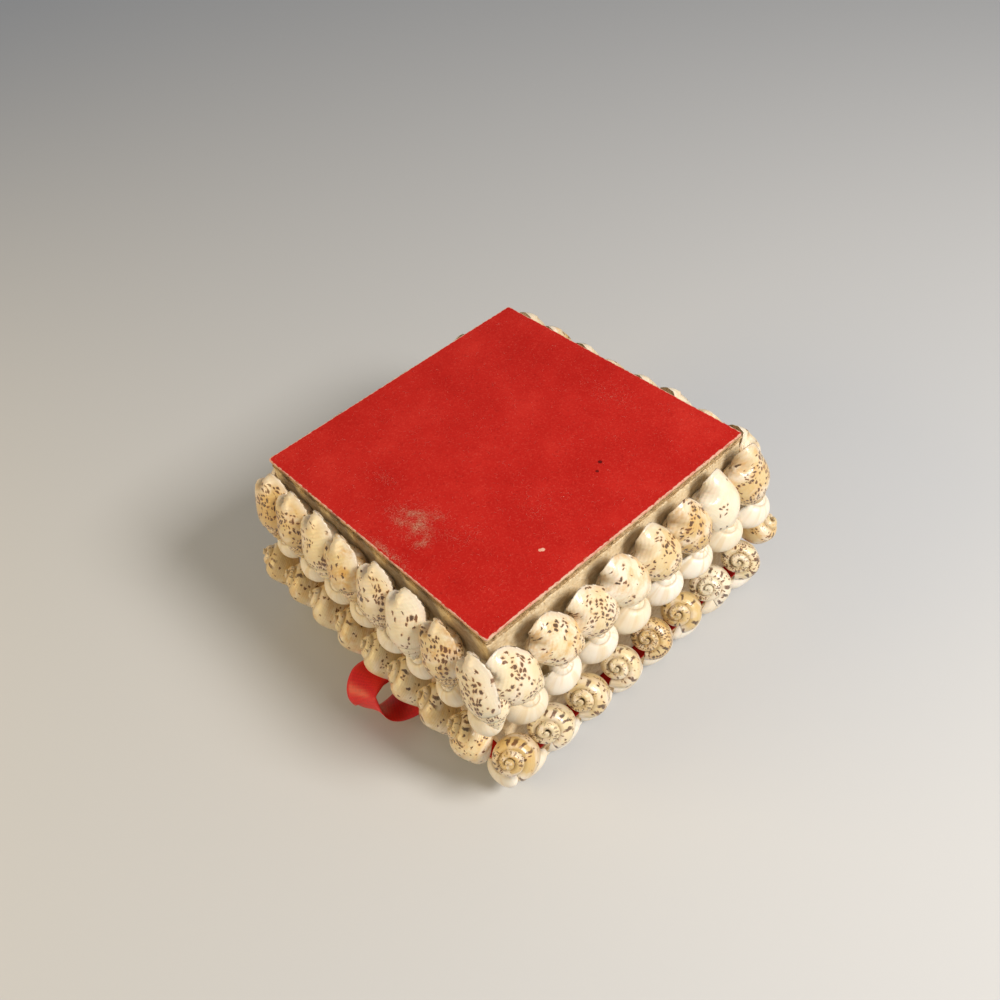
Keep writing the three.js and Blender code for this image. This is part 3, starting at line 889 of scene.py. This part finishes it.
def whelk_row(side, side_name):
    shells = []
    for i in range(SHELLS_PER_SIDE):
        nudge = WHELK_NUDGE.get((side_name, i + 1), (0, 0))
        along, out, drop = WHELK_SHIFT[side_name]
        lean, tilt = (math.radians(angle) for angle in WHELK_TURN[side_name][i])
        heading = direction(
            side, math.sin(lean) * math.cos(tilt), math.sin(tilt), -math.cos(lean) * math.cos(tilt)
        )
        shells.append(
            dict(
                at=place(
                    side, in_row(WHELK, i) + along + nudge[0], WHELK["out"] + out,
                    WHELK["drop"] + drop + nudge[1]
                ),
                heading=heading, back=direction(side, 0.10, 1, 0.12), kind=dice.randrange(3),
                seed=dice.uniform(0, 40),
                size=sized(WHELK["width"], WHELK["length"], WHELK["height"]),
                **coat(WHELK_COATS, side_name, i),
            )
        )  # fmt: skip
    names = [f"whelk_{side_name}_{i + 1}" for i in range(SHELLS_PER_SIDE)]
    shell_row(f"{side_name}_whelk_shells", whelk_bed, shells, names)


def spire_row(side, side_name):
    shells = []
    for i in range(SHELLS_PER_SIDE):
        heading = direction(side, *(value + dice.uniform(-0.06, 0.06) for value in SPIRE_AXIS))
        lip_up = Vector((dice.uniform(-0.4, 0.4), dice.uniform(-0.4, 0.4), 1))
        shells.append(
            dict(
                at=place(side, in_row(SPIRE, i), SPIRE["out"], SPIRE["drop"]),
                heading=heading, back=lip_up.cross(heading),
                kind=dice.randrange(3), seed=dice.uniform(0, 40), flames=dice.uniform(0.1, 0.6),
                size=sized(SPIRE["width"], SPIRE["length"], SPIRE["height"], 0.05),
                **coat(SPIRE_COATS, side_name, i),
            )
        )  # fmt: skip
    shell_row(f"{side_name}_spire_shells", spire_bed, shells, (f"spire_row_{side_name}",))


def moon_row(side, side_name):
    shells = []
    for i in range(SHELLS_PER_SIDE):
        shells.append(
            dict(
                at=place(
                    side, in_row(MOON, i) + i * MOON_STRETCH.get(side_name, 0.0), MOON["out"],
                    MOON["drop"]
                ),
                heading=direction(side, dice.uniform(-0.1, 0.3), dice.uniform(0.2, 0.55), 0.9),
                back=direction(side, dice.uniform(-0.2, 0.2), 0.9, -0.4), kind=dice.randrange(2),
                seed=dice.uniform(0, 40), size=sized(MOON["width"], MOON["height"], MOON["depth"]),
                tone=dice.uniform(0.0, 0.6),
            )
        )  # fmt: skip
    shell_row(f"{side_name}_moon_shells", moon_bed, shells, (f"moon_row_{side_name}",))


def lid_edge_row(side, side_name):
    shells = []
    for i in range(SHELLS_PER_SIDE):
        shells.append(
            dict(
                at=place(side, in_row(EDGE, i), LID_OUT + EDGE["depth"] / 2 - EDGE["sunk"], EDGE["drop"]),
                heading=direction(side, dice.uniform(-0.15, 0.2), 0.2, 0.98),
                back=direction(side, 0, 0.98, -0.2),
                kind=dice.randrange(2), seed=dice.uniform(0, 40),
                size=sized(EDGE["width"], EDGE["height"], EDGE["depth"]), tone=dice.uniform(0.0, 0.5),
            )
        )  # fmt: skip
    shell_row(f"{side_name}_lid_edge_shells", moon_bed, shells, (f"lid_edge_row_{side_name}",))


def lid_top_row(side, side_name):
    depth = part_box(f"lid_top_row_{side_name}")
    middle, thick = (depth[0].z + depth[1].z) / 2, (depth[1].z - depth[0].z) / MM
    shells = []
    for i in range(TOP_COUNT):
        at = place(side, in_row(TOP, i, TOP_COUNT), LID_OUT - TOP["inset"], 0)
        at.z = middle
        shells.append(
            dict(
                at=at, heading=Vector((0, 0, -1)), back=direction(side, 0.3, 1, 0), kind=dice.randrange(2),
                seed=dice.uniform(0, 40), size=sized(TOP["width"], thick, TOP["height"], 0.0),
                tone=dice.uniform(0.0, 0.5),
            )
        )  # fmt: skip
    shell_row(f"{side_name}_lid_top_shells", moon_bed, shells, (f"lid_top_row_{side_name}",))


lid_low, lid_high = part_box("lid_board")
LID_OUT = (lid_high.x - lid_low.x) / 2 / MM - HALF
whelk_tree = shell_tree("whelk_shell_form", WHELK_OUTLINE, WHELK_REACH)
moon_tree = shell_tree("moon_shell_form", MOON_OUTLINE, MOON_REACH)
whelk_bed = bed_tree(
    "whelks_on_bed", whelk_tree,
    [
        {"Notch": 0.09, "Seed": 1.0},
        {"Notch": 0.075, "Seed": 2.0, "Widening": 1.42, "Lip angle": math.radians(178)},
        {"Notch": 0.10, "Seed": 3.0, "Widening": 1.52, "Lip angle": math.radians(164)},
    ],
    whelk_finish,
)  # fmt: skip
spire_bed = bed_tree(
    "spires_on_bed", whelk_tree,
    [
        {"Turns": 2.7, "Widening": 1.62, "Seed": 6.0, "Rows": 88},
        {"Turns": 2.9, "Widening": 1.56, "Seed": 7.0, "Rows": 88},
        {"Turns": 2.6, "Widening": 1.70, "Seed": 8.0, "Rows": 88},
    ],
    whelk_finish,
)  # fmt: skip
moon_bed = bed_tree(
    "moons_on_bed", moon_tree,
    [
        {
            "Turns": 3.0, "Widening": 2.3, "Rows": 74, "Ring points": 20,
            "Seed": 4.0, "Lip angle": math.radians(200), "Siphon lag": 0.0,
        },
        {
            "Turns": 3.1, "Widening": 2.1, "Rows": 74, "Ring points": 20,
            "Seed": 5.0, "Lip angle": math.radians(212), "Siphon lag": 0.0,
        },
    ],
    moon_finish,
)  # fmt: skip
for side, side_name in enumerate(SIDES):
    whelk_row(side, side_name)
    moon_row(side, side_name)
    spire_row(side, side_name)
    lid_edge_row(side, side_name)
    lid_top_row(side, side_name)


# ---- Lint and frayed edges ----


def fibre_tree(name, finish, inputs):
    """Scatters short bent fibres on a mesh, as thick as `worn` says it is rubbed."""
    tree, given = tree_with(name, {"Ground": ("Geometry", None), **inputs}, "Fibres")
    worn = node(tree, "GeometryNodeInputNamedAttribute", {"Name": "worn"}, data_type="FLOAT")
    density = node(
        tree, "ShaderNodeMapRange",
        {0: worn, 1: 0.0, 2: 1.0, 3: given["Sparse per m2"], 4: given["Dense per m2"]}
    )
    scattered = node(
        tree, "GeometryNodeDistributePointsOnFaces",
        {"Mesh": given["Ground"], "Density": density, "Seed": given["Seed"]}, distribute_method="RANDOM",
    )  # fmt: skip
    profile = node(tree, "GeometryNodeCurvePrimitiveCircle", {"Resolution": 3, "Radius": given["Thickness"]})
    kinds = node(tree, "GeometryNodeGeometryToInstance")
    for bend, lift in ((0.25, 0.18), (-0.55, 0.25), (0.8, 0.12)):
        curve = node(
            tree, "GeometryNodeCurveQuadraticBezier",
            {"Resolution": 4, "Start": (-0.5 * MM, 0, 0), "Middle": (0.1 * MM, bend * MM, 2 * lift * MM),
             "End": (0.5 * MM, 0, 0.05 * MM)},
        )  # fmt: skip
        tube = node(
            tree, "GeometryNodeCurveToMesh", {"Curve": curve, "Profile Curve": profile, "Fill Caps": True}
        )
        tree.links.new(tube.outputs[0], kinds.inputs[0])
    spin = node(
        tree, "FunctionNodeRandomValue", {0: (-0.3, -0.3, 0.0), 1: (0.3, 0.3, math.tau), "Seed": 3},
        data_type="FLOAT_VECTOR"
    )
    spun = node(tree, "FunctionNodeEulerToRotation", {0: spin})
    turned = node(
        tree, "FunctionNodeRotateRotation", {0: scattered.outputs["Rotation"], 1: spun},
        rotation_space="LOCAL"
    )
    length = node(
        tree, "FunctionNodeRandomValue", {2: given["Shortest"], 3: given["Longest"], "Seed": 5},
        data_type="FLOAT"
    )
    pick = node(tree, "FunctionNodeRandomValue", {4: 0, 5: 2, "Seed": 6}, data_type="INT")
    set_down = node(
        tree, "GeometryNodeInstanceOnPoints",
        {"Points": scattered, "Instance": kinds, "Pick Instance": True, "Instance Index": pick.outputs[2],
         "Rotation": turned, "Scale": length.outputs[1]},
    )  # fmt: skip
    real = node(tree, "GeometryNodeRealizeInstances", {"Geometry": set_down})
    finish_node = node(tree, "GeometryNodeSetMaterial", {"Geometry": real, "Material": finish})
    node(tree, "NodeGroupOutput", {0: finish_node})
    return tree


FIBRE_INPUTS = {
    "Sparse per m2": ("Float", 260000.0),
    "Dense per m2": ("Float", 2.6e7),
    "Shortest": ("Float", 0.2),
    "Longest": ("Float", 0.85),
    "Thickness": ("Float", 0.021 * MM),
    "Seed": ("Int", 11),
}


def grid_bed(name, corner, across, down, steps_across, steps_down, worn):
    """A flat grid from a corner, with `worn` at each point."""
    mesh = bpy.data.meshes.new(name)
    points, values = [], []
    for j in range(steps_down + 1):
        for i in range(steps_across + 1):
            u, v = i / steps_across, j / steps_down
            points.append(corner + across * u + down * v)
            values.append(worn(u, v))
    faces = []
    for j in range(steps_down):
        for i in range(steps_across):
            a = j * (steps_across + 1) + i
            faces.append((a, a + 1, a + steps_across + 2, a + steps_across + 1))
    mesh.from_pydata(points, [], faces)
    layer = mesh.attributes.new("worn", "FLOAT", "POINT")
    layer.data.foreach_set("value", values)
    return mesh


lint_tree = fibre_tree("lint_on_flock", lint_finish, FIBRE_INPUTS)
reach = HALF - 0.6
panel_bed = grid_bed(
    "lint_bed", PANEL + MM * Vector((-reach, -reach, -0.03)), MM * Vector((2 * reach, 0, 0)),
    MM * Vector((0, 2 * reach, 0)), 90, 90, lambda u, v: worn_at((2 * u - 1) * reach, (2 * v - 1) * reach),
)  # fmt: skip
finished(grown("base_lint", lint_tree, panel_bed))

frayed_tree = fibre_tree("frayed_edge", frayed_finish, FIBRE_INPUTS)
for side, side_name in enumerate(SIDES):
    corner = place(side, -HALF + 1, 0.0, 0.5)
    edge_bed = grid_bed(
        side_name + "_edge_bed", corner, MM * direction(side, 2 * HALF - 2, 0, 0),
        MM * direction(side, 0, -0.15, -2.6),
        120, 4, lambda u, v, shift=side: max(0.0, 0.36 + 0.9 * noise.noise(Vector((u * 22, v, 7.0 + shift)))),
    )  # fmt: skip
    piece = grown(
        side_name + "_frayed_fibres", frayed_tree, edge_bed,
        {"Sparse per m2": 1.0e6, "Dense per m2": 2.2e7, "Longest": 1.9, "Thickness": 0.02 * MM},
    )  # fmt: skip
    finished(piece)


# ---- The ribbon pull ----

RIBBON_WIDTH = 9.5
RIBBON_THICKNESS = 0.35
RIBBON_ROOTS = (-0.4, 10.9)  # along: where the two ends leave the card
RIBBON_ROOT_OUT, RIBBON_ROOT_DROP = 0.7, 42.0
RIBBON_REACH = 13.8  # out: how far off the fold stands
RIBBON_CREST, RIBBON_SAG = 2.1, 3.5  # the first pass bows up, the second hangs
RIBBON_LEAN, RIBBON_TWIST = 0.28, 0.32  # how far the width turns inwards, and upwards
RIBBON_STRAIGHT = 0.2  # share of the loop before it sets off sideways
RIBBON_ROUND = 0.92  # under 1, the loop bends early
RIBBON_ROWS, RIBBON_COLUMNS = 240, 10


def ribbon_route(steps):
    """The loop's middle line as along, out and drop, and the direction of its width in the same three."""
    line, widths = [], []
    first, last = RIBBON_ROOTS
    for i in range(steps + 1):
        run = i / steps
        turn = math.pi * run**RIBBON_ROUND
        aside = max(0.0, (run - RIBBON_STRAIGHT) / (1 - RIBBON_STRAIGHT))
        wave = math.sin(2 * turn)
        line.append(Vector((
            first + (last - first) * aside,
            RIBBON_ROOT_OUT + (RIBBON_REACH - RIBBON_ROOT_OUT) * math.sin(turn),
            RIBBON_ROOT_DROP - wave * (RIBBON_CREST if wave > 0 else RIBBON_SAG),
        )))
        widths.append(Vector((1, -RIBBON_LEAN * math.sin(turn), -RIBBON_TWIST * math.sin(math.pi * aside))))
    return line, widths


def ribbon():
    """A band swept along the loop, its two faces ribbed across, its long edges rounded."""
    line, widths = ribbon_route(RIBBON_ROWS)
    across = RIBBON_COLUMNS
    vertices, weave, run = [], [], 0.0
    for i, (at, width) in enumerate(zip(line, widths)):
        before, after = line[max(i - 1, 0)], line[min(i + 1, len(line) - 1)]
        heading = (after - before).normalized()
        side_way = (width - heading * width.dot(heading)).normalized()
        face = side_way.cross(heading)
        run += (at - before).length
        thick = RIBBON_THICKNESS / 2 * (1 + 0.05 * math.cos(math.tau * run / RIB_PITCH))
        for layer in (1, -1):
            for j in range(across + 1):
                u = layer * (2 * j / across - 1)
                edge = math.sqrt(max(0.0, 1 - abs(u) ** 16))
                point = at + side_way * (u * RIBBON_WIDTH / 2) + face * (layer * thick * (0.35 + 0.65 * edge))
                vertices.append(place(0, point.x, point.y, point.z))
                weave.append((run, u * RIBBON_WIDTH / 2, 0.0))
    count = 2 * (across + 1)
    rows = len(line)
    faces = [tuple(range(count)), tuple((rows - 1) * count + k for k in range(count - 1, -1, -1))]
    for i in range(rows - 1):
        for k in range(count):
            a, b = i * count + k, i * count + (k + 1) % count
            faces.append((a, a + count, b + count, b))
    mesh = bpy.data.meshes.new("ribbon_loop")
    mesh.from_pydata(vertices, [], faces)
    layer = mesh.attributes.new("weave", "FLOAT_VECTOR", "POINT")
    layer.data.foreach_set("vector", [x for row in weave for x in row])
    mesh.polygons.foreach_set("use_smooth", [True] * len(faces))
    mesh.update()
    piece = linked("ribbon_loop", mesh, ribbon_finish)
    finished(piece, ("ribbon_pull",))
    return piece


ribbon()


# ---- Floor, light and camera ----


def floor():
    mesh = bpy.data.meshes.new("floor")
    reach = 1.2
    mesh.from_pydata(
        [(-reach, -reach, 0), (reach, -reach, 0), (reach, reach, 0), (-reach, reach, 0)], [], [(0, 1, 2, 3)]
    )
    made, _, _ = material("pale_floor", Roughness=0.85, Base_Color=colour("#C9CCD0"))
    piece = linked("floor", mesh, made)


def area_light(name, at, aim, size, watts, code):
    """A square soft light at a point, turned to another, both in millimetres."""
    lamp = bpy.data.lights.new(name, "AREA")
    lamp.size = size * MM
    lamp.energy = watts
    lamp.color = colour(code)[:3]
    holder = bpy.data.objects.new(name, lamp)
    holder.location = Vector(at) * MM
    holder.rotation_mode = "QUATERNION"
    holder.rotation_quaternion = (Vector(aim) * MM - holder.location).to_track_quat("-Z", "Y")
    bpy.context.scene.collection.objects.link(holder)


def world_light(strength, code):
    world = bpy.data.worlds.new("studio")
    world.use_nodes = True
    background = world.node_tree.nodes["Background"]
    background.inputs[0].default_value = colour(code)
    background.inputs[1].default_value = strength
    bpy.context.scene.world = world


CAMERA_AT = (137.6, -100.4, 154.7)  # from the middle of the base's face
CAMERA_AROUND, CAMERA_ABOVE, CAMERA_ROLL = 54.48, 45.24, -9.57  # degrees
CAMERA_LENS = 36.75


def camera():
    """The camera looks down on the box's right-hand front corner."""
    lens = bpy.data.cameras.new("camera")
    lens.lens = CAMERA_LENS
    lens.sensor_width = 36.0
    lens.clip_start = 0.01
    holder = bpy.data.objects.new("camera", lens)
    around, above, roll = (math.radians(angle) for angle in (CAMERA_AROUND, CAMERA_ABOVE, CAMERA_ROLL))
    turn = Matrix.Rotation(around, 3, "Z")
    turn @= Matrix.Rotation(math.pi / 2 - above, 3, "X")
    turn @= Matrix.Rotation(roll, 3, "Z")
    holder.rotation_mode = "QUATERNION"
    holder.rotation_quaternion = turn.to_quaternion()
    holder.location = PANEL + MM * Vector(CAMERA_AT)
    bpy.context.scene.collection.objects.link(holder)
    bpy.context.scene.camera = holder


floor()
area_light("key", (420, 120, 420), (0, 0, 20), 180, 3.6, "#FFF6EA")
area_light("fill", (-200, -420, 200), (0, 0, 20), 300, 1.2, "#FFDD98")
world_light(0.30, "#EEF1F6")
camera()
bpy.context.scene.view_settings.view_transform = "Standard"
